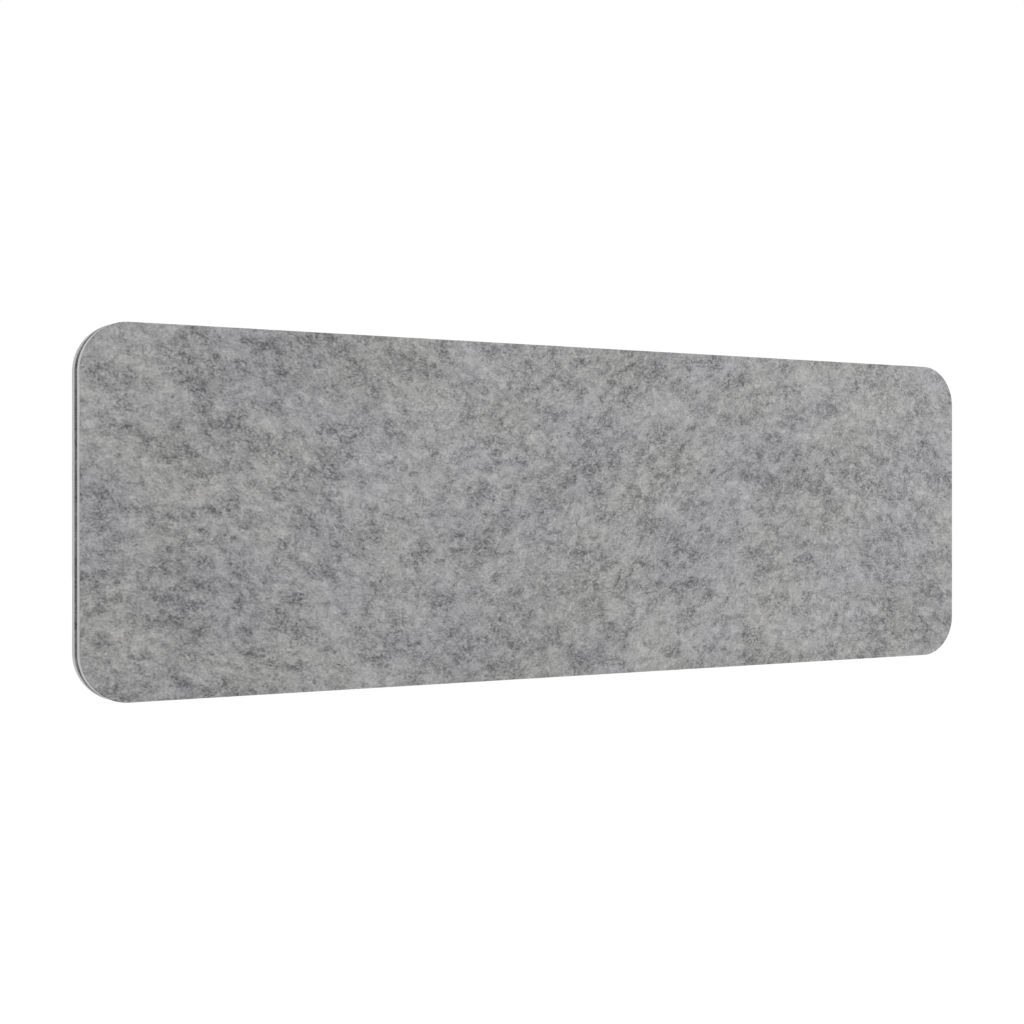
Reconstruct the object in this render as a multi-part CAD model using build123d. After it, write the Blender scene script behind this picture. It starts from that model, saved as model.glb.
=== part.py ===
from build123d import *
import os

# Acoustic divider screen: two felt boards glued to a thin hidden frame that is set back from their edges,
# which leaves an open groove all round. Millimetres, +Z up, +X along the width, front face towards -Y.
# The origin is at the middle of the bottom edge, halfway through the thickness.

# Panel
panel_width = 1400.0
panel_height = 450.0
corner_radius = 60.0
board_thickness = 10.0
edge_ease = 0.8

# Frame between the boards
core_thickness = 10.0
groove_depth = 10.0
rail_width = 30.0
stile_width = 30.0
corner_leg = 40.0

# Dovetailed key joints, cut with a round router bit
tail_length = 12.0
tail_neck = 10.0
tail_head = 16.0
cutter_radius = 2.5
joint_clearance = 0.15

# Bracket posts, housed into both rails, each with its middle this far in from its end of the panel.
# The margin is the board left outside a post's two screw lines, on each side.
post_inset = 250.0
post_margin = 10.0
housing_depth = 8.0

# Barrel nuts in the posts and the screw holes that reach them from the groove
nut_diameter = 10.0
nut_clearance = 0.05
nut_end_gap = 0.3
nut_height = 40.0
nut_spacing = 50.0
thread_radius = 2.5
screw_hole_radius = 3.3
screw_tip_room = 8.0
driver_slot_width = 1.2
driver_slot_depth = 1.2

# Soft infill
infill_clearance = 0.3

# How far a cutting tool runs past the piece it cuts
overrun = 5.0

# Places worked out from the sizes above
frame_left = -panel_width / 2 + groove_depth
frame_bottom = groove_depth
frame_top = panel_height - groove_depth
shoulder_x = panel_width / 2 - corner_radius - corner_leg
shoulder_low = corner_radius + corner_leg
shoulder_high = panel_height - shoulder_low
bottom_rail_level = frame_bottom + rail_width / 2
top_rail_level = frame_top - rail_width / 2
stile_place = -frame_left - stile_width / 2
post_place = panel_width / 2 - post_inset
post_width = nut_spacing + 2 * post_margin
nut_level = frame_bottom + nut_height


def panel_outline(inset):
    """Rounded rectangle of the panel, drawn in by the inset on every side."""
    return Pos(0, panel_height / 2) * RectangleRounded(
        panel_width - 2 * inset,
        panel_height - 2 * inset,
        corner_radius - inset,
    )


def upright(outline, middle_y, thickness):
    """Stand a flat outline up and give it its thickness, half each side of middle_y."""
    rear_y = middle_y + thickness / 2
    return extrude(Plane.XZ.offset(-rear_y) * outline, amount=thickness)


def felt_board(side):
    """One felt board, eased round the face that shows. Side is -1 for the front board and 1 for the rear."""
    middle_y = side * (core_thickness + board_thickness) / 2
    board = upright(panel_outline(0), middle_y, board_thickness)
    outward_face = board.faces().sort_by(Axis.Y)[0 if side < 0 else -1]
    return fillet(outward_face.edges(), edge_ease)


def tailed_bar(length, width):
    """Bar along X with a dovetail tail past each shoulder, its corners as the router bit leaves them."""
    end = length / 2
    tip = end + tail_length
    neck = tail_neck / 2
    head = tail_head / 2
    edge = width / 2
    half = [(end, -edge), (end, -neck), (tip, -head), (tip, head), (end, neck), (end, edge)]
    outline = Polygon(*half, *[(-x, -y) for x, y in half], align=None)
    rounded = outline.vertices().filter_by(lambda v: abs(v.Y) < edge)
    return fillet(rounded, cutter_radius)


def post_outline(place):
    """Upright post with rounded ends, which stand in housings in the rails."""
    inner_height = top_rail_level - bottom_rail_level - rail_width
    height = inner_height + 2 * housing_depth
    return Pos(place, panel_height / 2) * RectangleRounded(post_width, height, cutter_radius)


def with_clearance(outline):
    """Outline of the pocket that takes a piece, a joint clearance larger all round."""
    return offset(outline, amount=joint_clearance)


rail_bar = tailed_bar(2 * shoulder_x, rail_width)
stile_bar = tailed_bar(shoulder_high - shoulder_low, stile_width)
rail_outlines = {
    "top_rail": Pos(0, top_rail_level) * rail_bar,
    "bottom_rail": Pos(0, bottom_rail_level) * rail_bar,
}
stile_outlines = {
    "left_stile": Pos(-stile_place, panel_height / 2) * Rot(0, 0, 90) * stile_bar,
    "right_stile": Pos(stile_place, panel_height / 2) * Rot(0, 0, 90) * stile_bar,
}
post_places = {"left": -post_place, "right": post_place}
post_outlines = {side: post_outline(place) for side, place in post_places.items()}


def screw_places(place):
    """The two screw lines of the post at this place."""
    return [place - nut_spacing / 2, place + nut_spacing / 2]


def screw_holes(place):
    """Screw holes up from the groove, through the rail and past the nuts in the post."""
    low = frame_bottom - overrun
    high = nut_level + nut_diameter / 2 + screw_tip_room
    hole = Cylinder(screw_hole_radius, high - low)
    return [Pos(x, 0, (low + high) / 2) * hole for x in screw_places(place)]


def rail(name):
    """Straight rail with housings for the two posts."""
    outline = rail_outlines[name]
    for post in post_outlines.values():
        outline -= with_clearance(post)
    return upright(outline, 0, core_thickness)


def bottom_rail():
    """The bottom rail, with the screw holes of both posts."""
    piece = rail("bottom_rail")
    for place in post_places.values():
        piece -= screw_holes(place)
    return piece


def frame_ring():
    """Outline of the whole frame as one ring with concentric corners."""
    ring = panel_outline(groove_depth)
    bay_width = panel_width - 2 * (groove_depth + stile_width)
    bay_height = panel_height - 2 * (groove_depth + rail_width)
    bay_radius = corner_radius - groove_depth - max(rail_width, stile_width)
    return ring - Pos(0, panel_height / 2) * RectangleRounded(bay_width, bay_height, bay_radius)


def corner_block(side, level):
    """Curved corner of the frame. Side is -1 or 1 along X, level is -1 for the bottom and 1 for the top."""
    reach_x = panel_width / 2 - shoulder_x
    reach_z = shoulder_low
    corner = Pos(
        side * (panel_width / 2 - reach_x / 2),
        panel_height / 2 + level * (panel_height / 2 - reach_z / 2),
    ) * Rectangle(reach_x, reach_z)
    outline = frame_ring() & corner
    for bar in [*rail_outlines.values(), *stile_outlines.values()]:
        outline -= with_clearance(bar)
    return upright(outline, 0, core_thickness)


def bracket_post(side):
    """Post with cross bores for its two barrel nuts and the screw holes below them."""
    place = post_places[side]
    piece = upright(post_outlines[side], 0, core_thickness)
    bore = Rot(90, 0, 0) * Cylinder(nut_diameter / 2, core_thickness + overrun)
    piece -= screw_holes(place)
    return piece - [Pos(x, 0, nut_level) * bore for x in screw_places(place)]


def barrel_nut():
    """Cross dowel along Y with its threaded cross bore along Z and a driver slot in the front end."""
    radius = nut_diameter / 2 - nut_clearance
    length = core_thickness - 2 * nut_end_gap
    body = Rot(90, 0, 0) * Cylinder(radius, length)
    bore = Cylinder(thread_radius, nut_diameter)
    slot = Pos(0, -length / 2, 0) * Box(driver_slot_width, 2 * driver_slot_depth, nut_diameter)
    return body - bore - slot


def barrel_nuts(side):
    """The two barrel nuts of one post."""
    nut = barrel_nut()
    return Compound([Pos(x, 0, nut_level) * nut for x in screw_places(post_places[side])])


def infills():
    """Soft infill of the three bays, from left to right."""
    bays = Pos(0, panel_height / 2) * RectangleRounded(
        panel_width - 2 * (groove_depth + stile_width + infill_clearance),
        panel_height - 2 * (groove_depth + rail_width + infill_clearance),
        corner_radius - groove_depth - max(rail_width, stile_width) - infill_clearance,
    )
    for post in post_outlines.values():
        bays -= offset(post, amount=infill_clearance)
    thickness = core_thickness - 2 * infill_clearance
    return [upright(bay, 0, thickness) for bay in bays.faces().sort_by(Axis.X)]


pieces = {
    "front_felt_board": felt_board(-1),
    "rear_felt_board": felt_board(1),
    "top_rail": rail("top_rail"),
    "bottom_rail": bottom_rail(),
}
for name, outline in stile_outlines.items():
    pieces[name] = upright(outline, 0, core_thickness)
for side_name, side in {"left": -1, "right": 1}.items():
    pieces[f"top_{side_name}_corner_block"] = corner_block(side, 1)
    pieces[f"bottom_{side_name}_corner_block"] = corner_block(side, -1)
    pieces[f"{side_name}_bracket_post"] = bracket_post(side_name)
    pieces[f"{side_name}_barrel_nuts"] = barrel_nuts(side_name)
for name, infill in zip(["left_infill", "centre_infill", "right_infill"], infills()):
    pieces[name] = infill

os.makedirs("parts", exist_ok=True)
for name, piece in pieces.items():
    export_step(piece, f"parts/{name}.step")
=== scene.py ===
import logging
import math
from dataclasses import asdict, dataclass, fields
from enum import Enum

import bpy
import numpy as np
from bpy.types import Material, Mesh, Node, NodeInputs, NodeOutputs, NodeSocket, NodeTree, Object
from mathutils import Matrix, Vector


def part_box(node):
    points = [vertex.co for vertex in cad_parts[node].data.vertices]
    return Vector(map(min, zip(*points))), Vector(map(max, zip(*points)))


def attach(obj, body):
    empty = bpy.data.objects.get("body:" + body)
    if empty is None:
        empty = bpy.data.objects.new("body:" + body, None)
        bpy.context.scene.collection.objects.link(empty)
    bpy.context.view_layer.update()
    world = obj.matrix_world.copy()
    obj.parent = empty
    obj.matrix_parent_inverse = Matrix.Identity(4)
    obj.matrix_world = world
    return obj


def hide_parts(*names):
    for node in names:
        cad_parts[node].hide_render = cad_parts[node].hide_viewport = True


# Acoustic divider screen: two pressed felt boards on a hidden frame of dyed fibreboard, with soft wadding
# between them. Metres, +Z up, +X along the width, front face towards -Y.

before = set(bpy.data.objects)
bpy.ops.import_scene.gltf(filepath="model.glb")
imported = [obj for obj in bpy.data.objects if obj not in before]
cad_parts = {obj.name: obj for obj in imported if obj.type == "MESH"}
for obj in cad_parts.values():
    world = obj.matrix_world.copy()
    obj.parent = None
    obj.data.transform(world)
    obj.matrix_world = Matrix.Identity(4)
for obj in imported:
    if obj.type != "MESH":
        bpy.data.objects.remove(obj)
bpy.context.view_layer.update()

log = logging.getLogger("divider_screen")

MM = 0.001
Value = float | tuple | NodeSocket
Colour = tuple[float, float, float]
Span = tuple[float, float]

# The part of a pattern's tone over which the roughness of a finish changes
TONE_SPAN: Span = (0.2, 0.8)


class Slot(Enum):
    """The record's material slots of the pieces that are modelled here."""

    FELT = "felt"
    WADDING = "wadding"


class Side(Enum):
    """Which of the two felt boards, by the way its outward face points along Y."""

    FRONT = -1
    REAR = 1


class Bay(Enum):
    """The bays of the hidden frame, from left to right."""

    LEFT = 0
    CENTRE = 1
    RIGHT = 2


class Zone(Enum):
    """The finishes on one piece's mesh, by their place among its materials."""

    FACE = 0
    CUT = 1


class Bench:
    """Lays out and links the shader nodes of one node tree.

    Wherever a method takes a Value, a number, vector or colour is set on the socket, with the colour made
    opaque, and another socket is linked to it.
    """

    def __init__(self, tree: NodeTree) -> None:
        """Starts on a node tree, emptied."""
        self.tree = tree
        tree.nodes.clear()

    def node(self, kind: str, inputs: dict[str | int, Value] | None = None, **settings: object) -> Node:
        """Adds one node.

        Args:
            kind: Blender's name for the type of node.
            inputs: What its inputs get, by their names or places.
            settings: Properties to set on it.

        Returns:
            The new node.
        """
        node = self.tree.nodes.new(kind)
        for name, value in settings.items():
            setattr(node, name, value)
        for key, value in (inputs or {}).items():
            self.feed(node.inputs[key], value)
        return node

    def feed(self, socket: NodeSocket, value: Value) -> None:
        """Links a socket to another one, or sets its own value.

        Args:
            socket: The input to feed.
            value: What it gets.
        """
        if isinstance(value, NodeSocket):
            self.tree.links.new(value, socket)
        else:
            socket.default_value = (*value, 1.0) if socket.type == "RGBA" else value

    def math(self, operation: str, *numbers: Value) -> NodeSocket:
        """Works out a number from others, by Blender's name for the operation."""
        return self.node("ShaderNodeMath", dict(enumerate(numbers)), operation=operation).outputs[0]

    def weighed(self, *parts: tuple[Value, Value]) -> NodeSocket:
        """Adds several numbers by their weight.

        Args:
            parts: Each number and its weight.

        Returns:
            The sum of the numbers times their weights.
        """
        terms = [self.math("MULTIPLY", value, weight) for value, weight in parts]
        result = terms[0]
        for term in terms[1:]:
            result = self.math("ADD", result, term)
        return result

    def remap(self, value: Value, low: Value, high: Value, out_low: Value = 0.0,
              out_high: Value = 1.0) -> NodeSocket:
        """Maps the range from low to high to another, with a smooth start and end, and holds the ends."""
        parts = {"Value": value, "From Min": low, "From Max": high, "To Min": out_low, "To Max": out_high}
        return self.node("ShaderNodeMapRange", parts, interpolation_type="SMOOTHSTEP").outputs["Result"]

    def over_tone(self, tone: Value, span: Span) -> NodeSocket:
        """Lets a number change with a pattern's tone, from what it is in the dark parts to the light ones."""
        return self.remap(tone, *TONE_SPAN, *span)

    def noise(self, vector: Value, scale: Value, detail: float = 0.0, roughness: float = 0.5,
              distortion: float = 0.0) -> NodeSocket:
        """Adds cloudy noise from 0 to 1.

        Args:
            vector: Where to read it.
            scale: Clouds to the metre.
            detail: Octaves beyond the first.
            roughness: Weight of each octave against the one before.
            distortion: How far the clouds are stirred.

        Returns:
            The noise.
        """
        return self.node("ShaderNodeTexNoise", {
            "Vector": vector, "Scale": scale,
            "Detail": detail, "Roughness": roughness, "Distortion": distortion,
        }).outputs[0]

    def placed(self, vector: Value, turn: Value = (0.0, 0.0, 0.0), stretch: Value = (1.0, 1.0, 1.0),
               shift: Value = (0.0, 0.0, 0.0)) -> NodeSocket:
        """Turns and shifts a pattern's coordinates, and squeezes the pattern by a stretch of more than 1."""
        parts = {"Vector": vector, "Location": shift, "Rotation": turn, "Scale": stretch}
        return self.node("ShaderNodeMapping", parts).outputs["Vector"]

    def blend(self, share: Value, first: Value, second: Value, mode: str = "MIX") -> NodeSocket:
        """Mixes two colours by the share of the second, in the way that Blender calls by this mode."""
        parts = {0: share, 6: first, 7: second}
        return self.node("ShaderNodeMix", parts, data_type="RGBA", blend_type=mode).outputs[2]

    def split(self, vector: Value) -> NodeOutputs:
        """Takes a vector apart into X, Y and Z."""
        return self.node("ShaderNodeSeparateXYZ", {0: vector}).outputs

    def join(self, *parts: Value) -> NodeSocket:
        """Puts a vector together from its x, y and z."""
        return self.node("ShaderNodeCombineXYZ", dict(enumerate(parts))).outputs[0]


@dataclass(frozen=True)
class Matting:
    """How one finish sets the group fibre_clouds: clouds to the metre, and how much each layer counts."""

    cloud_scale: float
    cloud_share: float
    mottle_scale: float
    mottle_share: float
    grain_scale: float
    grain_share: float


@dataclass(frozen=True)
class Wisps:
    """How one finish sets the group fine_hairs: fibres to the metre, their draw, width and patches."""

    scale: float
    draw: float
    width: float
    patch_scale: float


@dataclass(frozen=True)
class Wear:
    """How one finish sets the group rubbed_arrises: how far the wear reaches and what breaks it up."""

    radius: float
    breakup_scale: float


@dataclass(frozen=True)
class Relief:
    """Small bumps of a finish: how strongly they show and how deep they are in metres."""

    strength: float
    depth: float


def socket_name(field: str) -> str:
    """Names the input of a node group after a field of its settings: cloud_scale is for Cloud Scale."""
    return field.replace("_", " ").title()


def new_group(name: str, settings: type, outputs: tuple[str, ...]) -> tuple[Bench, NodeOutputs, NodeInputs]:
    """Makes an empty shader node group, with a vector input and a number for each field of its settings.

    Args:
        name: The group's name.
        settings: The dataclass of its settings.
        outputs: The names of its outputs, which are numbers.

    Returns:
        Its bench, the sockets that it is given and those that it makes.
    """
    tree = bpy.data.node_groups.new(name, "ShaderNodeTree")
    tree.interface.new_socket(name="Vector", in_out="INPUT", socket_type="NodeSocketVector")
    inputs = [(socket_name(field.name), "INPUT") for field in fields(settings)]
    for label, way in [*inputs, *((output, "OUTPUT") for output in outputs)]:
        tree.interface.new_socket(name=label, in_out=way, socket_type="NodeSocketFloat")
    bench = Bench(tree)
    return bench, bench.node("NodeGroupInput").outputs, bench.node("NodeGroupOutput").inputs


def fibre_clouds() -> NodeTree:
    """Builds the shared group for matted fibres, the clouds that a mixed batch of fibres leaves in a felt.

    Tone is a half plus three layers of noise, from wide clouds through mottling to grain, each swung round
    zero and times its share. Warmth is a wide, slow noise, shifted so that it doesn't follow the clouds, and
    Height is the grain alone.

    Returns:
        The group's tree.
    """
    bench, given, made = new_group("fibre_clouds", Matting, ("Tone", "Warmth", "Height"))
    vector = given["Vector"]
    cloud = bench.noise(vector, given["Cloud Scale"], detail=3.0, roughness=0.5, distortion=0.4)
    mottle = bench.noise(vector, given["Mottle Scale"], detail=2.0, roughness=0.7, distortion=0.6)
    grain = bench.noise(vector, given["Grain Scale"], detail=1.0, roughness=0.6)
    layers = [
        (bench.math("SUBTRACT", noise, 0.5), given[share])
        for noise, share in ((cloud, "Cloud Share"), (mottle, "Mottle Share"), (grain, "Grain Share"))
    ]
    tone = bench.math("ADD", bench.weighed(*layers), 0.5)
    away = bench.placed(vector, shift=(3.7, 1.9, 5.3))
    bench.feed(made["Tone"], tone)
    bench.feed(made["Warmth"], bench.noise(away, given["Cloud Scale"], detail=2.0))
    bench.feed(made["Height"], grain)
    return bench.tree


def fine_hairs() -> NodeTree:
    """Builds the shared group for single fibres, wisps of them and the rims of small tufts.

    A wisp lies where stirred noise crosses a half, within a width, so it is a thin curved line. Two sets lie
    crossed at a small angle to the length, drawn out along it, and a wider noise leaves them in patches.

    Returns:
        The group's tree.
    """
    bench, given, made = new_group("fine_hairs", Wisps, ("Mask",))
    masks = []
    draw = bench.join(given["Draw"], 1.0, 1.0)
    for tilt, shift in ((0.28, 0.0), (-0.2, 4.0)):
        laid = bench.placed(given["Vector"], turn=(0.0, tilt, 0.0), shift=(shift, shift, shift))
        drawn = bench.placed(laid, stretch=draw)
        stirred = bench.noise(drawn, given["Scale"], detail=1.0, distortion=0.8)
        off_line = bench.math("ABSOLUTE", bench.math("SUBTRACT", stirred, 0.5))
        line = bench.remap(off_line, 0.0, given["Width"], 1.0, 0.0)
        patch = bench.remap(bench.noise(laid, given["Patch Scale"], detail=1.0), low=0.48, high=0.68)
        masks.append(bench.math("MULTIPLY", line, patch))
    bench.feed(made["Mask"], bench.math("MAXIMUM", *masks))
    return bench.tree


def rubbed_arrises() -> NodeTree:
    """Builds the shared group for wear along the sharp edges of a machined piece.

    The mask is how far the rounded normal leans away from the true one, broken up by noise.

    Returns:
        The group's tree.
    """
    bench, given, made = new_group("rubbed_arrises", Wear, ("Mask",))
    rounded = bench.node("ShaderNodeBevel", {"Radius": given["Radius"]}, samples=4).outputs[0]
    true = bench.node("ShaderNodeNewGeometry").outputs["True Normal"]
    lean = bench.node("ShaderNodeVectorMath", {0: rounded, 1: true}, operation="DOT_PRODUCT").outputs["Value"]
    edge = bench.remap(lean, low=0.8, high=0.99, out_low=1.0, out_high=0.0)
    breakup = bench.noise(given["Vector"], given["Breakup Scale"], detail=2.0)
    broken = bench.remap(breakup, low=0.35, high=0.6)
    bench.feed(made["Mask"], bench.math("MULTIPLY", edge, broken))
    return bench.tree


@dataclass(frozen=True)
class SharedGroups:
    """The node groups that more than one finish places."""

    clouds: NodeTree
    hairs: NodeTree
    arrises: NodeTree


class FinishBench(Bench):
    """Bench of a new material with one Principled shader, whose patterns read the piece's own coordinates."""

    def __init__(self, name: str, groups: SharedGroups) -> None:
        """Makes the material.

        Args:
            name: The material's name.
            groups: The shared node groups.
        """
        self.material = bpy.data.materials.new(name)
        self.material.use_nodes = True
        super().__init__(self.material.node_tree)
        self.groups = groups
        self.coordinates = self.node("ShaderNodeTexCoord").outputs["Object"]

    def place(self, group: NodeTree, settings: Matting | Wisps | Wear,
              vector: Value | None = None) -> NodeOutputs:
        """Places a shared node group with this finish's settings.

        Args:
            group: The group's tree.
            settings: The values of its inputs.
            vector: Where its pattern is read, if not at the piece's own coordinates.

        Returns:
            The group's outputs.
        """
        parts = {socket_name(field): value for field, value in asdict(settings).items()}
        parts["Vector"] = self.coordinates if vector is None else vector
        return self.node("ShaderNodeGroup", parts, node_tree=group).outputs

    def clouds(self, matting: Matting, vector: Value | None = None) -> NodeOutputs:
        """Places matted fibres and gives their Tone, Warmth and Height."""
        return self.place(self.groups.clouds, matting, vector)

    def hairs(self, wisps: Wisps, vector: Value | None = None) -> NodeSocket:
        """Places single fibres and gives their mask."""
        return self.place(self.groups.hairs, wisps, vector)["Mask"]

    def worn(self, wear: Wear) -> NodeSocket:
        """Places wear along the sharp edges and gives its mask."""
        return self.place(self.groups.arrises, wear)["Mask"]

    def finished(self, colour: Value, roughness: Value, relief: Relief, height: Value,
                 plain: dict[str, float]) -> Material:
        """Adds the shader and hands over the material.

        Args:
            colour: The colour of the surface.
            roughness: Its roughness.
            relief: The size of its small bumps.
            height: Their height, from 0 to 1.
            plain: Plain values of the shader's other sockets.

        Returns:
            The material.
        """
        parts = {"Strength": relief.strength, "Distance": relief.depth, "Height": height}
        normal = self.node("ShaderNodeBump", parts).outputs["Normal"]
        parts = {"Base Color": colour, "Roughness": roughness, "Normal": normal, **plain}
        shader = self.node("ShaderNodeBsdfPrincipled", parts).outputs["BSDF"]
        self.node("ShaderNodeOutputMaterial", {"Surface": shader})
        return self.material


@dataclass(frozen=True)
class PressedFelt:
    """Heathered grey felt board, pressed from light and dark fibres, with a cut edge painted paler than the
    face:
    partly the felt's own paler cut fibres, partly painted light for the light that falls on the board's end.

    The scales are clouds to the metre, and the shares say how far each layer moves the tone, from 0, all dark
    fibre, to 1, all light fibre. The fibres lie flat in the board and mostly along it, so the pattern is
    squeezed through its thickness and across their lay, which swings up and down along the board as a long
    sine wave.
    """

    light_fibre: Colour = (0.50, 0.497, 0.4945)
    dark_fibre: Colour = (0.105, 0.1055, 0.1105)
    # The cut edge's colours are paler than the face's: partly the felt's own cut fibres, partly painted light
    # on the board's end.
    cut_pale_fibre_and_painted_light: Colour = (0.50, 0.498, 0.493)
    cut_dark_fibre_and_painted_light: Colour = (0.225, 0.226, 0.231)
    warm_tint: Colour = (1.009, 1.004, 0.985)
    cool_tint: Colour = (0.991, 0.985, 1.016)
    warmth_span: Span = (0.32, 0.68)
    warmth_of_tone: float = 0.1
    face_fuzz: float = 0.18
    face_gloss: float = 0.25
    cut_fuzz: float = 1.0
    cut_gloss: float = 0.35
    fuzz_roughness: float = 0.6
    roughness: Span = (0.82, 0.97)
    cut_glaze: float = 0.15
    layer_squeeze: float = 5.0
    lay_squeeze: float = 1.32
    lay_sway: float = 0.038
    lay_wave: float = 1.25
    lay_start: float = -0.45
    matting: Matting = Matting(
        cloud_scale=7.0, cloud_share=0.47, mottle_scale=75.0, mottle_share=1.16,
        grain_scale=280.0, grain_share=0.91,
    )
    hairs: Wisps = Wisps(scale=95.0, draw=0.55, width=0.1, patch_scale=22.0)
    hair_share: float = 0.14
    tufts: Wisps = Wisps(scale=125.0, draw=1.0, width=0.15, patch_scale=32.0)
    tuft_share: float = 0.32
    fleck_scale: float = 100.0
    fleck_span: Span = (0.60, 0.78)
    fleck_share: float = 0.34
    tone_lift: float = 0.099
    nap_scale: float = 1500.0
    nap_squeeze: tuple[float, float, float] = (1.0, 2.0, 1.8)
    nap_rise: float = 0.4
    grain_rise: float = 0.6
    hair_rise: float = 0.2
    relief: Relief = Relief(strength=0.5, depth=0.35 * MM)

    def tone(self, bench: FinishBench) -> tuple[NodeSocket, NodeOutputs, NodeSocket]:
        """Mixes the layers of the heathered pattern.

        Args:
            bench: The material's bench.

        Returns:
            The tone, what the clouds give and the hairs' mask.
        """
        spot = bench.split(bench.coordinates)
        along = bench.math("SUBTRACT", spot["X"], self.lay_start)
        swing = bench.math("SINE", bench.math("MULTIPLY", along, 2 * math.pi / self.lay_wave))
        level = bench.math("ADD", spot["Z"], bench.math("MULTIPLY", swing, self.lay_sway))
        through = bench.math("MULTIPLY", spot["Y"], self.layer_squeeze)
        laid = bench.join(spot["X"], through, bench.math("MULTIPLY", level, self.lay_squeeze))
        clouds = bench.clouds(self.matting, laid)
        hairs = bench.hairs(self.hairs, laid)
        tufts = bench.hairs(self.tufts, laid)
        stirred = bench.noise(laid, self.fleck_scale, detail=2.0, roughness=0.6, distortion=1.0)
        flecks = bench.remap(stirred, *self.fleck_span)
        darker = bench.weighed((hairs, self.hair_share), (tufts, self.tuft_share), (flecks, self.fleck_share))
        mixed = bench.math("SUBTRACT", clouds["Tone"], darker)
        return bench.math("ADD", mixed, self.tone_lift), clouds, hairs

    def build(self, groups: SharedGroups, zone: Zone) -> Material:
        """Builds the material of one zone. It reads the mask cut_edge of the boards' meshes.

        The zones share one pattern, which runs on over the arris. They differ in their fuzz and gloss, which
        are plain values of the shader.

        Args:
            groups: The shared node groups.
            zone: The face or the cut edge.

        Returns:
            The material.
        """
        on_face = zone is Zone.FACE
        bench = FinishBench(f"pressed_felt_{zone.name.lower()}", groups)
        cut = bench.node("ShaderNodeAttribute", attribute_name="cut_edge").outputs["Fac"]
        tone, clouds, hairs = self.tone(bench)
        face = bench.blend(tone, self.dark_fibre, self.light_fibre)
        # The cut edge takes the paler colours, partly its own cut fibres and partly painted light on the
        # board's end.
        edge = bench.blend(tone, self.cut_dark_fibre_and_painted_light, self.cut_pale_fibre_and_painted_light)
        swing = bench.math("SUBTRACT", clouds["Tone"], 0.5)
        warmth = bench.weighed((clouds["Warmth"], 1.0), (swing, self.warmth_of_tone))
        tint = bench.blend(bench.remap(warmth, *self.warmth_span), self.cool_tint, self.warm_tint)
        colour = bench.blend(1.0, bench.blend(cut, face, edge), tint, mode="MULTIPLY")
        matt = bench.over_tone(clouds["Tone"], self.roughness)
        roughness = bench.math("SUBTRACT", matt, bench.math("MULTIPLY", cut, self.cut_glaze))
        squeezed = bench.placed(bench.coordinates, stretch=self.nap_squeeze)
        nap = bench.noise(squeezed, self.nap_scale, detail=2.0, roughness=0.6, distortion=0.5)
        grain = clouds["Height"]
        height = bench.weighed((nap, self.nap_rise), (grain, self.grain_rise), (hairs, self.hair_rise))
        return bench.finished(colour, roughness, self.relief, height, {
            "Sheen Weight": self.face_fuzz if on_face else self.cut_fuzz,
            "Sheen Roughness": self.fuzz_roughness,
            "Specular IOR Level": self.face_gloss if on_face else self.cut_gloss,
        })


@dataclass(frozen=True)
class DyedFibreboard:
    """Black fibreboard, dyed through, with fine specks and arrises rubbed a little grey."""

    body: Colour = (0.024, 0.023, 0.022)
    speck: Colour = (0.060, 0.057, 0.053)
    rubbed: Colour = (0.105, 0.100, 0.094)
    gloss: float = 0.35
    roughness: Span = (0.52, 0.78)
    matting: Matting = Matting(
        cloud_scale=22.0, cloud_share=0.35, mottle_scale=420.0, mottle_share=0.7,
        grain_scale=2400.0, grain_share=1.0,
    )
    speck_span: Span = (0.5, 0.95)
    fibres: Wisps = Wisps(scale=1700.0, draw=0.6, width=0.12, patch_scale=700.0)
    fibre_share: float = 0.35
    wear: Wear = Wear(radius=0.6 * MM, breakup_scale=300.0)
    relief: Relief = Relief(strength=0.3, depth=0.08 * MM)

    def build(self, groups: SharedGroups) -> Material:
        """Builds the material.

        Args:
            groups: The shared node groups.

        Returns:
            The material.
        """
        bench = FinishBench("black_dyed_board", groups)
        clouds = bench.clouds(self.matting)
        fibres = bench.math("MULTIPLY", bench.hairs(self.fibres), self.fibre_share)
        specks = bench.math("MAXIMUM", bench.remap(clouds["Tone"], *self.speck_span), fibres)
        flat = bench.blend(specks, self.body, self.speck)
        colour = bench.blend(bench.worn(self.wear), flat, self.rubbed)
        roughness = bench.over_tone(clouds["Tone"], self.roughness)
        return bench.finished(colour, roughness, self.relief, clouds["Height"], {
            "Specular IOR Level": self.gloss,
        })


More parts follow.
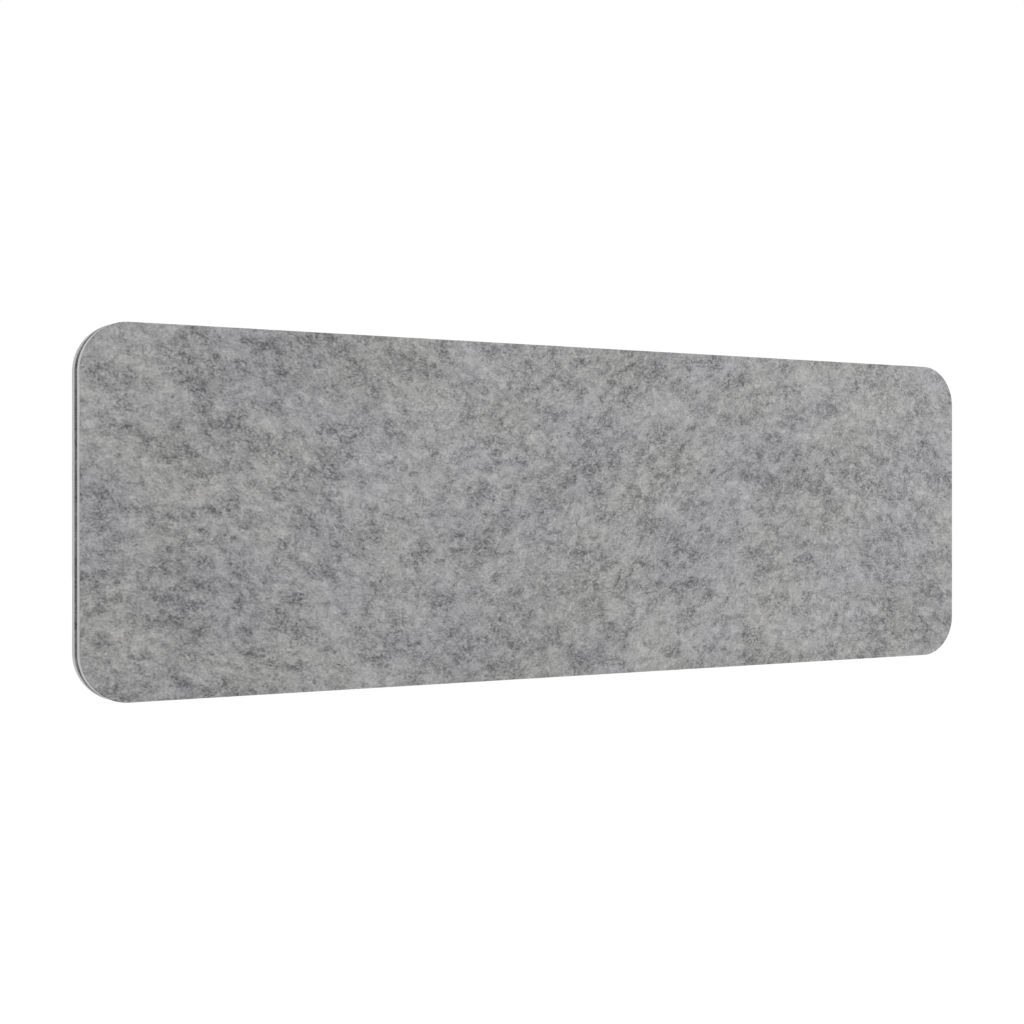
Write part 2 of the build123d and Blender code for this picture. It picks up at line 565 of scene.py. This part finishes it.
@dataclass(frozen=True)
class PlatedSteel:
    """Zinc plated steel of the turned barrel nuts, with the lathe's rings and a faint blue and straw cast."""

    straw: Colour = (0.50, 0.485, 0.455)
    blue: Colour = (0.40, 0.425, 0.465)
    scuff: Colour = (0.24, 0.24, 0.245)
    roughness: Span = (0.24, 0.42)
    matting: Matting = Matting(
        cloud_scale=260.0, cloud_share=0.9, mottle_scale=900.0, mottle_share=0.4,
        grain_scale=4000.0, grain_share=0.3,
    )
    nut_spacing: float = 50 * MM
    ring_pitch: float = 0.35 * MM
    ring_share: float = 0.3
    wear: Wear = Wear(radius=0.3 * MM, breakup_scale=1200.0)
    relief: Relief = Relief(strength=0.3, depth=0.02 * MM)

    def build(self, groups: SharedGroups) -> Material:
        """Builds the material.

        The four nuts stand a whole number of spacings apart, so one wrap serves them all. The rings are a
        sine of the distance from the nut's axis plus the place along it, so they run round the ends and the
        barrel alike.

        Args:
            groups: The shared node groups.

        Returns:
            The material.
        """
        bench = FinishBench("turned_plated_steel", groups)
        low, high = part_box("right_barrel_nuts")
        spot = bench.split(bench.coordinates)
        half = self.nut_spacing / 2
        across = bench.math("SUBTRACT", spot["X"], (low[0] + high[0]) / 2 + half)
        wrapped = bench.math("WRAP", across, half, -half)
        up = bench.math("SUBTRACT", spot["Z"], (low[2] + high[2]) / 2)
        square = bench.math("ADD", bench.math("POWER", wrapped, 2.0), bench.math("POWER", up, 2.0))
        along = bench.math("ADD", bench.math("SQRT", square), spot["Y"])
        rings = bench.math("SINE", bench.math("MULTIPLY", along, 2 * math.pi / self.ring_pitch))
        clouds = bench.clouds(self.matting)
        turned = bench.weighed((clouds["Tone"], 1.0), (rings, self.ring_share))
        plated = bench.blend(turned, self.blue, self.straw)
        colour = bench.blend(bench.worn(self.wear), plated, self.scuff)
        roughness = bench.over_tone(clouds["Tone"], self.roughness)
        height = bench.remap(rings, -1.0, 1.0)
        return bench.finished(colour, roughness, self.relief, height, {"Metallic": 1.0})


@dataclass(frozen=True)
class BondedWadding:
    """Off-white absorbing wadding of bonded fibres, loose and lofty."""

    light_fibre: Colour = (0.80, 0.80, 0.775)
    dark_fibre: Colour = (0.56, 0.555, 0.535)
    fuzz: float = 0.3
    fuzz_roughness: float = 0.7
    gloss: float = 0.15
    roughness: Span = (0.85, 1.0)
    matting: Matting = Matting(
        cloud_scale=16.0, cloud_share=0.6, mottle_scale=110.0, mottle_share=0.9,
        grain_scale=700.0, grain_share=0.6,
    )
    hairs: Wisps = Wisps(scale=420.0, draw=0.4, width=0.16, patch_scale=90.0)
    hair_share: float = 0.3
    loft_scale: float = 170.0
    loft_rise: float = 1.0
    grain_rise: float = 0.5
    hair_rise: float = 0.12
    relief: Relief = Relief(strength=0.6, depth=1.6 * MM)

    def build(self, groups: SharedGroups) -> Material:
        """Builds the material.

        Args:
            groups: The shared node groups.

        Returns:
            The material.
        """
        bench = FinishBench("bonded_wadding", groups)
        clouds = bench.clouds(self.matting)
        hairs = bench.hairs(self.hairs)
        tone = bench.weighed((clouds["Tone"], 1.0), (hairs, self.hair_share))
        colour = bench.blend(tone, self.dark_fibre, self.light_fibre)
        roughness = bench.over_tone(clouds["Tone"], self.roughness)
        loft = bench.noise(bench.coordinates, self.loft_scale, detail=2.0, roughness=0.6)
        grain = clouds["Height"]
        height = bench.weighed((loft, self.loft_rise), (grain, self.grain_rise), (hairs, self.hair_rise))
        return bench.finished(colour, roughness, self.relief, height, {
            "Sheen Weight": self.fuzz,
            "Sheen Roughness": self.fuzz_roughness,
            "Specular IOR Level": self.gloss,
        })


@dataclass(frozen=True)
class PlateOutline:
    """Rounded rectangle in the plane of the panel, laid out in upright columns of points.

    Each column stands at its own x, and its points are spread evenly over the height that the outline has
    there, so the ends of the columns lie on the outline, with their steps even round the corner arcs.
    """

    left: float
    right: float
    bottom: float
    top: float
    left_radius: float
    right_radius: float
    pitch: float
    arc_steps: int = 36

    @property
    def middle(self) -> float:
        """Height of the outline's middle."""
        return (self.bottom + self.top) / 2

    def columns(self) -> tuple[np.ndarray, np.ndarray, np.ndarray, np.ndarray]:
        """Lays out the columns: the left corners' arc, the straight stretch and the right corners' arc.

        Round a corner of radius r, the column at angle a from the vertical, negative at the left, stands
        r sin a past the arc's centre and ends r - r cos a below the top.

        Returns:
            Each column's x, half its height, and the outward normal's x and z at its upper end.
        """
        quarter = np.linspace(0.0, math.pi / 2, self.arc_steps + 1)
        start, end = self.left + self.left_radius, self.right - self.right_radius
        straight = np.linspace(start, end, max(2, round((end - start) / self.pitch)) + 1)[1:-1]
        level = np.zeros_like(straight)
        angle = np.concatenate([-quarter[::-1], level, quarter])
        centre = np.concatenate([np.full_like(quarter, start), straight, np.full_like(quarter, end)])
        radius = np.concatenate([
            np.full_like(quarter, self.left_radius), level, np.full_like(quarter, self.right_radius),
        ])
        halves = (self.top - self.bottom) / 2 - radius * (1 - np.cos(angle))
        return centre + radius * np.sin(angle), halves, np.sin(angle), np.cos(angle)

    def grid(self, inset: float) -> tuple[np.ndarray, np.ndarray]:
        """Fills the outline, drawn in by the inset, with columns of points.

        Args:
            inset: How far the outline is drawn in.

        Returns:
            The x and z of each point, as arrays of columns by rows.
        """
        x, halves, normal_x, normal_z = self.columns()
        rows = max(2, round((self.top - self.bottom) / self.pitch))
        share = np.linspace(-1.0, 1.0, rows + 1)
        across = (x - inset * normal_x)[:, None] * np.ones_like(share)[None, :]
        up = self.middle + (halves - inset * normal_z)[:, None] * share[None, :]
        return across, up

    def loop(self) -> tuple[np.ndarray, np.ndarray, np.ndarray]:
        """Walks once round the outline, from the lower left, along the bottom first.

        Returns:
            The flat indices into a grid of its border points, the points and their outward normals.
        """
        _, _, normal_x, normal_z = self.columns()
        across, up = self.grid(0.0)
        columns, rows = across.shape
        index = np.arange(columns * rows).reshape(columns, rows)
        border = np.concatenate([index[:, 0], index[-1, 1:], index[-2::-1, -1], index[0, -2:0:-1]])
        normals_x = np.tile(normal_x[:, None], (1, rows))
        upward = np.where(np.arange(rows) == 0, -1.0, np.where(np.arange(rows) == rows - 1, 1.0, 0.0))
        normals_z = normal_z[:, None] * upward[None, :]
        points = np.stack([across.ravel()[border], up.ravel()[border]], axis=-1)
        normals = np.stack([normals_x.ravel()[border], normals_z.ravel()[border]], axis=-1)
        return border, points, normals

    def carried(self, shift: np.ndarray, y: np.ndarray) -> np.ndarray:
        """Carries the loop's points out along their normals, once for each ring of a profile.

        Args:
            shift: How far outward the points go, as rings by points.
            y: Where they lie along Y, as rings by points.

        Returns:
            The rings of points.
        """
        _, points, normals = self.loop()
        moved = points + normals * shift[:, :, None]
        return np.stack([moved[..., 0], y, moved[..., 1]], axis=-1)

    def depth_inside(self, x: np.ndarray, z: np.ndarray) -> np.ndarray:
        """Measures how far points lie inside the outline.

        Inside a corner's square this is the radius less the distance to the arc's centre, and elsewhere the
        distance to the nearest side.

        Args:
            x: The points' x.
            z: The points' z.

        Returns:
            The distances.
        """
        radius = np.where(x < (self.left + self.right) / 2, self.left_radius, self.right_radius)
        to_end = np.minimum(x - self.left, self.right - x)
        to_side = np.minimum(z - self.bottom, self.top - z)
        from_centre = np.hypot(np.maximum(radius - to_end, 0.0), np.maximum(radius - to_side, 0.0))
        in_corner = (to_end < radius) & (to_side < radius)
        return np.where(in_corner, radius - from_centre, np.minimum(to_end, to_side))


def ripples(x: np.ndarray, z: np.ndarray, waves: Span, seed: int, count: int = 28) -> np.ndarray:
    """Adds up plane waves in seeded directions, which gives a smooth uneven surface.

    Each wave is the cosine of its wave vector times the place plus a phase. The sum is divided by twice the
    root of half their number, which leaves its spread at a half, and is held between -1 and 1.

    Args:
        x: The places' x.
        z: The places' z.
        waves: The shortest and the longest wavelength.
        seed: Seed of the random draws.
        count: How many waves there are.

    Returns:
        The height at each place, from -1 to 1.
    """
    draws = np.random.default_rng(seed)
    wavelength = np.exp(draws.uniform(math.log(waves[0]), math.log(waves[1]), count))
    direction = draws.uniform(0.0, math.pi, count)
    phase = draws.uniform(0.0, 2 * math.pi, count)
    wave_x = 2 * math.pi * np.cos(direction) / wavelength
    wave_z = 2 * math.pi * np.sin(direction) / wavelength
    total = np.cos(x[..., None] * wave_x + z[..., None] * wave_z + phase).sum(axis=-1)
    return np.clip(total / (2 * math.sqrt(count / 2)), -1.0, 1.0)


def smooth_step(value: np.ndarray) -> np.ndarray:
    """Eases from 0 to 1 as the value goes from 0 to 1: three of its square less two of its cube."""
    held = np.clip(value, 0.0, 1.0)
    return held * held * (3 - 2 * held)


@dataclass
class PlateSurface:
    """Closed surface of a flat piece: two faces on one grid, joined round the outline by rings."""

    outline: PlateOutline
    front: tuple[np.ndarray, np.ndarray, np.ndarray]
    rings: np.ndarray
    back: tuple[np.ndarray, np.ndarray, np.ndarray]
    ring_marks: np.ndarray

    def mesh(self, name: str) -> Mesh:
        """Puts the surface into a mesh, with the marks of the rings as the attribute cut_edge.

        A strip between two rings is in the cut zone where either of its rims is marked as more than half cut.
        The front face's quads run column, then row, so their normals point along -Y, the back face's run the
        other way, and the rings' turn outward.

        Args:
            name: The mesh's name.

        Returns:
            The mesh.
        """
        border, _, _ = self.outline.loop()
        columns, rows = self.front[0].shape
        face_size = columns * rows
        ring_count, ring_size, _ = self.rings.shape
        points = np.concatenate([
            np.stack(self.front, axis=-1).reshape(-1, 3),
            self.rings.reshape(-1, 3),
            np.stack(self.back, axis=-1).reshape(-1, 3),
        ])
        index = np.arange(face_size).reshape(columns, rows)
        corners = [index[:-1, :-1], index[1:, :-1], index[1:, 1:], index[:-1, 1:]]
        quads = np.stack(corners, axis=-1).reshape(-1, 4)
        back_start = face_size + ring_count * ring_size
        ring_index = np.arange(ring_count * ring_size).reshape(ring_count, ring_size) + face_size
        bands = np.concatenate([border[None, :], ring_index, border[None, :] + back_start])
        ahead = np.roll(bands, -1, axis=1)
        wall = np.stack([bands[:-1], bands[1:], ahead[1:], ahead[:-1]], axis=-1).reshape(-1, 4)
        faces = np.concatenate([quads, wall, quads[:, ::-1] + back_start])
        mesh = bpy.data.meshes.new(name)
        mesh.vertices.add(len(points))
        mesh.vertices.foreach_set("co", points.astype(np.float32).ravel())
        mesh.loops.add(faces.size)
        mesh.loops.foreach_set("vertex_index", faces.astype(np.int32).ravel())
        mesh.polygons.add(len(faces))
        mesh.polygons.foreach_set("loop_start", np.arange(0, faces.size, 4, dtype=np.int32))
        mesh.polygons.foreach_set("use_smooth", np.ones(len(faces), dtype=bool))
        rims = np.concatenate([[0.0], self.ring_marks, [0.0]])
        strips = np.where(np.maximum(rims[:-1], rims[1:]) > 0.5, Zone.CUT.value, Zone.FACE.value)
        face_zones = np.full(len(quads), Zone.FACE.value)
        zones = np.concatenate([face_zones, np.repeat(strips, ring_size), face_zones]).astype(np.int32)
        mesh.polygons.foreach_set("material_index", zones)
        mesh.update(calc_edges=True)
        marks = np.zeros(len(points), dtype=np.float32)
        marks[face_size:back_start] = np.repeat(self.ring_marks, ring_size)
        mesh.attributes.new("cut_edge", "FLOAT", "POINT").data.foreach_set("value", marks)
        mesh.validate()
        return mesh


def stand_in(name: str, mesh: Mesh, materials: tuple[Material, ...], node: str) -> Object:
    """Puts a modelled piece in the place of a CAD node.

    Args:
        name: The piece's name.
        mesh: Its mesh, in place.
        materials: Its finishes, in the order of their zones.
        node: The node that it stands for.

    Returns:
        The piece.
    """
    piece = bpy.data.objects.new(name, mesh)
    bpy.context.scene.collection.objects.link(piece)
    for material in materials:
        mesh.materials.append(material)
    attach(piece, "root")
    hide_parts(node)
    log.info("%s: %d faces, stands for %s", name, len(mesh.polygons), node)
    return piece


@dataclass
class FeltBoard:
    """One pressed felt board, with a slightly uneven outward face, an eased rim and a fibrous cut edge."""

    side: Side
    pitch: float = 5 * MM
    ease: float = 0.8 * MM
    inner_ease: float = 0.6 * MM
    ease_steps: int = 5
    wall_steps: int = 8
    rim_power: float = 1.4
    unevenness: float = 0.14 * MM
    face_waves: Span = (16 * MM, 90 * MM)
    calm_rim: float = 9 * MM
    edge_waver: float = 0.2 * MM
    edge_waves: Span = (20 * MM, 90 * MM)
    layer_lean: float = 3.0
    level_slack: float = 0.01 * MM
    first_seed: int = 40

    @property
    def node(self) -> str:
        """The CAD node of this board."""
        return f"{self.side.name.lower()}_felt_board"

    def outline(self) -> PlateOutline:
        """Reads the board's outline off its CAD node.

        The straight top ends where the corner arcs start, so a corner's radius is what is left of the width.

        Returns:
            The outline.
        """
        low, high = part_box(self.node)
        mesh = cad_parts[self.node].data
        points = np.empty(len(mesh.vertices) * 3, dtype=np.float32)
        mesh.vertices.foreach_get("co", points)
        points = points.reshape(-1, 3)
        on_top = points[points[:, 2] > high[2] - self.level_slack]
        radius = float(high[0] - on_top[:, 0].max())
        return PlateOutline(low[0], high[0], low[2], high[2], radius, radius, self.pitch)

    def profile(self) -> tuple[np.ndarray, np.ndarray, np.ndarray]:
        """Draws the section through the board's edge from its outward face to its glued one.

        An eased corner is a quarter circle: at angle a its inset is r - r sin a and its depth r - r cos a.

        Returns:
            Each ring's inset from the outline, its depth below the outward face and its mark as cut edge.
        """
        low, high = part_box(self.node)
        thickness = high[1] - low[1]
        turn = np.linspace(0.0, math.pi / 2, self.ease_steps + 1)[1:]
        outer_inset = self.ease * (1 - np.sin(turn))
        outer_depth = self.ease * (1 - np.cos(turn))
        wall_depth = np.linspace(self.ease, thickness - self.inner_ease, self.wall_steps + 1)[1:-1]
        back_turn = turn[::-1]
        inner_inset = self.inner_ease * (1 - np.sin(back_turn))
        inner_depth = thickness - self.inner_ease * (1 - np.cos(back_turn))
        inset = np.concatenate([outer_inset, np.zeros_like(wall_depth), inner_inset])
        depth = np.concatenate([outer_depth, wall_depth, inner_depth])
        rim_marks = (outer_depth / self.ease) ** self.rim_power
        marks = np.concatenate([rim_marks, np.ones(len(wall_depth) + len(inner_depth))])
        return inset, depth, marks

    def surface(self) -> PlateSurface:
        """Works out the whole board.

        The outward face is the flat one plus low ripples, which die out towards the rim. The cut edge is its
        profile, less a waver that only ever cuts inward and leans over from layer to layer of the felt.

        Returns:
            Its surface.
        """
        low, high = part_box(self.node)
        outline = self.outline()
        outward_y = low[1] if self.side is Side.FRONT else high[1]
        inward = -self.side.value
        inset, depth, marks = self.profile()
        _, points, _ = outline.loop()
        seed = self.first_seed + self.side.value
        lean = depth[:, None] * self.layer_lean
        uneven = ripples(points[:, 0] + lean, points[:, 1] - lean, self.edge_waves, seed)
        shift = -inset[:, None] - (1 - uneven) / 2 * self.edge_waver * marks[:, None]
        rings = outline.carried(shift, np.broadcast_to(outward_y + inward * depth[:, None], shift.shape))
        across, up = outline.grid(self.ease)
        calm = smooth_step((outline.depth_inside(across, up) - self.ease) / self.calm_rim)
        relief = ripples(across, up, self.face_waves, seed) * calm * self.unevenness
        outward = (across, outward_y + self.side.value * relief, up)
        glued_across, glued_up = outline.grid(self.inner_ease)
        glued = (glued_across, np.full_like(glued_across, outward_y + inward * (high[1] - low[1])), glued_up)
        if self.side is Side.FRONT:
            return PlateSurface(outline, outward, rings, glued, marks)
        return PlateSurface(outline, glued, rings[::-1], outward, marks[::-1])

    def build(self, felt: tuple[Material, ...]) -> Object:
        """Makes the board in place of its CAD node, with the felt's finishes for its face and cut edge."""
        name = f"{self.side.name.lower()}_pressed_felt"
        return stand_in(name, self.surface().mesh(name), felt, self.node)


@dataclass
class WaddingBatt:
    """Soft batt that fills one bay between the boards, flat where they press it and round at its edge."""

    bay: Bay
    outer_radius: float = 19.5 * MM
    soft_radius: float = 5 * MM
    pitch: float = 6 * MM
    arc_steps: int = 10
    edge_draw: float = 2.2 * MM
    edge_reach: float = 16 * MM
    lumps: float = 0.45 * MM
    lump_waves: Span = (22 * MM, 110 * MM)
    bulge: float = 3 * MM
    tuck: float = 0.8 * MM
    tuck_waves: Span = (20 * MM, 120 * MM)
    wall_steps: int = 7
    first_seed: int = 100
    seed_step: int = 10

    @property
    def node(self) -> str:
        """The CAD node of this batt."""
        return f"{self.bay.name.lower()}_infill"

    def half_thickness(self, outline: PlateOutline, x: np.ndarray, z: np.ndarray, seed: int) -> np.ndarray:
        """Works out how far a face lies from the batt's middle plane.

        It is half the bay's thickness, less what the edge draws in over its reach, less the hollows between
        lumps, so the batt never presses into the boards.

        Args:
            outline: The batt's outline.
            x: The places' x.
            z: The places' z.
            seed: Seed of this face's lumps.

        Returns:
            The distances.
        """
        low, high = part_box(self.node)
        full = (high[1] - low[1]) / 2
        drawn = self.edge_draw * (1 - smooth_step(outline.depth_inside(x, z) / self.edge_reach)) ** 2
        hollows = self.lumps * (1 - ripples(x, z, self.lump_waves, seed)) / 2
        return full - drawn - hollows

    def surface(self) -> PlateSurface:
        """Works out the whole batt; round its edge the wall bulges out as half an ellipse.

        Returns:
            Its surface.
        """
        low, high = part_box(self.node)
        radii = [self.outer_radius if self.bay is end else self.soft_radius for end in (Bay.LEFT, Bay.RIGHT)]
        outline = PlateOutline(low[0], high[0], low[2], high[2], *radii, self.pitch, self.arc_steps)
        seed = self.first_seed + self.seed_step * self.bay.value
        across, up = outline.grid(self.bulge)
        front = (across, -self.half_thickness(outline, across, up, seed), up)
        back = (across, self.half_thickness(outline, across, up, seed + 1), up)
        border, points, _ = outline.loop()
        turn = np.linspace(-math.pi / 2, math.pi / 2, self.wall_steps + 2)[1:-1]
        tuck = (1 + ripples(points[:, 0], points[:, 1], self.tuck_waves, seed + 2)) / 2 * self.tuck
        shift = -self.bulge * (1 - np.cos(turn))[:, None] - tuck[None, :] * np.cos(turn)[:, None]
        front_y, back_y = front[1].ravel()[border], back[1].ravel()[border]
        ring_y = np.where(turn[:, None] < 0, -front_y[None, :], back_y[None, :]) * np.sin(turn)[:, None]
        return PlateSurface(outline, front, outline.carried(shift, ring_y), back, np.zeros(len(turn)))

    def build(self, wadding: Material) -> Object:
        """Args:
            wadding: The wadding's finish.

        Returns:
            The batt.
        """
        name = f"{self.bay.name.lower()}_wadding_batt"
        piece = stand_in(name, self.surface().mesh(name), (wadding,), self.node)
        return piece


@dataclass
class HiddenFrame:
    """The fibreboard frame and its barrel nuts, which keep their CAD shapes and get their finishes here."""

    boards: tuple[str, ...] = (
        "top_rail", "bottom_rail", "left_stile", "right_stile", "top_left_corner_block",
        "top_right_corner_block", "bottom_left_corner_block", "bottom_right_corner_block",
        "left_bracket_post", "right_bracket_post",
    )
    nuts: tuple[str, ...] = ("left_barrel_nuts", "right_barrel_nuts")

    def dress(self, fibreboard: Material, steel: Material) -> None:
        """Gives each CAD node its finish.

        Args:
            fibreboard: The finish of the boards.
            steel: The finish of the nuts.
        """
        for names, material in ((self.boards, fibreboard), (self.nuts, steel)):
            for name in names:
                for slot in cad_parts[name].material_slots:
                    slot.material = material
                log.info("%s: finished in %s", name, material.name)


@dataclass(frozen=True)
class Softbox:
    """One large soft light, aimed at a point of the screen."""

    name: str
    place: tuple[float, float, float]
    aim: tuple[float, float, float]
    power: float
    width: float = 2.4
    height: float = 2.0

    def build(self) -> None:
        """Adds the light."""
        light = bpy.data.lights.new(self.name, "AREA")
        light.shape = "RECTANGLE"
        light.size, light.size_y, light.energy = self.width, self.height, self.power
        lamp = bpy.data.objects.new(self.name, light)
        lamp.location = self.place
        away = np.subtract(self.place, self.aim)
        flat = math.hypot(away[0], away[1])
        lamp.rotation_euler = (math.atan2(flat, away[2]), 0.0, math.atan2(away[0], -away[1]))
        lamp.visible_camera = False
        bpy.context.scene.collection.objects.link(lamp)


@dataclass
class Studio:
    """White studio with a pale floor, soft light and the camera at the photograph's viewpoint."""

    camera_place: tuple[float, float, float] = (-1.31491033, -2.00313813, 0.2314068)
    camera_turn: float = math.radians(-31.1645)
    lens_length: float = 61.081
    sensor_width: float = 36.0
    frame_shift: float = -0.0051042
    sight_reach: float = 90.0
    floor_reach: float = 30.0
    floor_drop: float = 0.2 * MM
    floor_paint: float = 0.8
    floor_glow: float = 1.09
    floor_lit_share: float = 0.5
    floor_seen_share: float = 0.85
    surround: float = 0.59
    backdrop: float = 1.005

    def softboxes(self) -> tuple[Softbox, ...]:
        """Lists the lights: one high over the left end, a key from the front right, and one behind.

        Returns:
            The three lights.
        """
        return (
            Softbox("left_softbox", place=(-1.9, -0.3, 3.0), aim=(-0.7, 0.0, 0.2), power=5.0),
            Softbox("front_softbox", place=(2.0, -2.85, 1.5), aim=(0.45, 0.0, 0.2), power=50.0),
            Softbox("rear_softbox", place=(0.0, 3.2, 1.45), aim=(-0.25, 0.0, 0.25), power=36.0),
        )

    @staticmethod
    def seen_share(bench: Bench) -> NodeSocket:
        """Gives 1 for a ray that looks at the studio, straight or in a reflection, and 0 for any other."""
        path = bench.node("ShaderNodeLightPath")
        return bench.math("MAXIMUM", path.outputs["Is Camera Ray"], path.outputs["Is Glossy Ray"])

    def build_camera(self) -> None:
        """Adds the camera, level and turned to the right."""
        data = bpy.data.cameras.new("viewpoint")
        data.lens, data.sensor_width, data.shift_y = self.lens_length, self.sensor_width, self.frame_shift
        data.clip_end = self.sight_reach
        camera = bpy.data.objects.new("viewpoint", data)
        camera.location = self.camera_place
        camera.rotation_euler = (math.pi / 2, 0.0, self.camera_turn)
        bpy.context.scene.collection.objects.link(camera)
        bpy.context.scene.camera = camera

    def build_floor(self) -> None:
        """Adds the floor: a white table lit from below, seen nearly as bright as the paper behind it.

        A share of its glow lights the screen's lower edge. From underneath it is clear, so that this edge can
        be looked at. It lies a little below the edge, so the two never share a plane.
        """
        material = bpy.data.materials.new("studio_floor")
        material.use_nodes = True
        bench = Bench(material.node_tree)
        paint = bench.node("ShaderNodeBsdfDiffuse", {"Color": (self.floor_paint,) * 3}).outputs[0]
        glow = bench.node("ShaderNodeEmission", {"Strength": self.floor_glow}).outputs[0]
        clear = bench.node("ShaderNodeBsdfTransparent").outputs[0]
        below = bench.node("ShaderNodeNewGeometry").outputs["Backfacing"]
        share = bench.remap(self.seen_share(bench), 0.0, 1.0, self.floor_lit_share, self.floor_seen_share)
        above = bench.node("ShaderNodeMixShader", {0: share, 1: paint, 2: glow}).outputs[0]
        either = bench.node("ShaderNodeMixShader", {0: below, 1: above, 2: clear}).outputs[0]
        bench.node("ShaderNodeOutputMaterial", {"Surface": either})
        reach, level = self.floor_reach, -self.floor_drop
        corners = [(x * reach, y * reach, level) for x, y in ((-1, -1), (1, -1), (1, 1), (-1, 1))]
        mesh = bpy.data.meshes.new("studio_floor")
        mesh.from_pydata(corners, [], [(0, 1, 2, 3)])
        mesh.materials.append(material)
        floor = bpy.data.objects.new("studio_floor", mesh)
        bpy.context.scene.collection.objects.link(floor)

    def build_surround(self) -> None:
        """Adds the white surround, which is dimmer as a light than as the background that is seen."""
        world = bpy.data.worlds.new("white_surround")
        world.use_nodes = True
        bench = Bench(world.node_tree)
        strength = bench.remap(self.seen_share(bench), 0.0, 1.0, self.surround, self.backdrop)
        parts = {"Strength": strength, "Color": (1.0, 1.0, 1.0)}
        background = bench.node("ShaderNodeBackground", parts).outputs[0]
        bench.node("ShaderNodeOutputWorld", {"Surface": background})
        bpy.context.scene.world = world

    def build(self) -> None:
        """Sets up the whole studio."""
        self.build_camera()
        self.build_floor()
        self.build_surround()
        for softbox in self.softboxes():
            softbox.build()
        settings = bpy.context.scene.view_settings
        settings.view_transform, settings.look = "Standard", "None"
        settings.exposure, settings.gamma = 0.0, 1.0
        log.info("studio: camera, floor, surround and %d softboxes", len(self.softboxes()))


def main() -> None:
    """Builds the screen piece by piece, then the studio round it."""
    logging.basicConfig(level=logging.INFO, format="%(name)s: %(message)s")
    groups = SharedGroups(fibre_clouds(), fine_hairs(), rubbed_arrises())
    felt = tuple(PressedFelt().build(groups, zone) for zone in Zone)
    for side in Side:
        FeltBoard(side).build(felt)
    HiddenFrame().dress(DyedFibreboard().build(groups), PlatedSteel().build(groups))
    wadding = BondedWadding().build(groups)
    for bay in Bay:
        WaddingBatt(bay).build(wadding)
    Studio().build()


if __name__ == "__main__":
    main()
